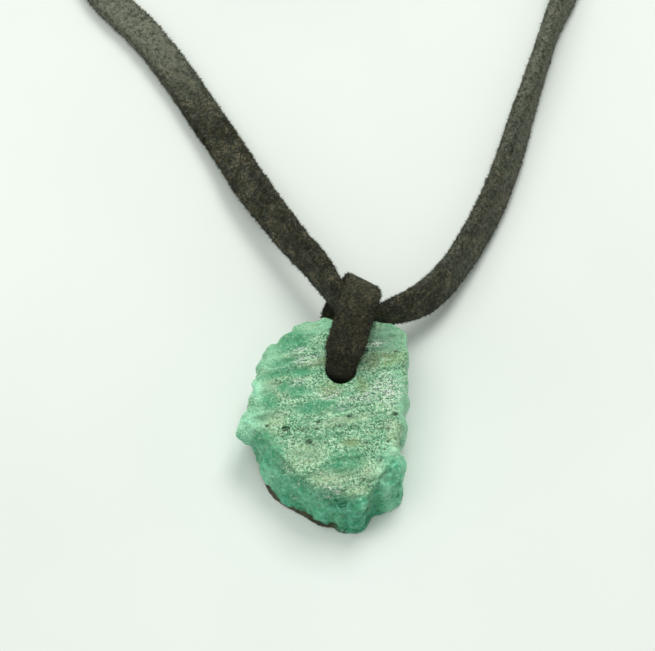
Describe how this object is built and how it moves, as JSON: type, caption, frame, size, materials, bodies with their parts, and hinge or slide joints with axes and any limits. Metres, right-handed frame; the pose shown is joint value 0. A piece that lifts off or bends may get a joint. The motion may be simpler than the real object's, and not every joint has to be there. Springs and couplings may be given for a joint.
{
  "type": "raw emerald pendant",
  "caption": "Rough flat piece of raw emerald, drilled through, with a loop of dark suede lace as its bail on a suede neck lace that ends in a tied coil.",
  "frame": {"origin": "middle of the stone and its bail, on the surface the stone lies on", "axes": "+Z out of the stone's front face, +Y from the stone towards its bail, +X to the right of the face"},
  "size_m": [0.0523, 0.0987, 0.0091],
  "materials": {
    "emerald": "rough cloudy green stone, granular face with small glints",
    "suede": "dark brown suede with a short nap"
  },
  "bodies": {
    "root": {"emerald": "emerald", "bail": "suede", "neck_lace": "suede", "lace_coil": "suede", "closing_knot": "suede"}
  },
  "joints": []
}
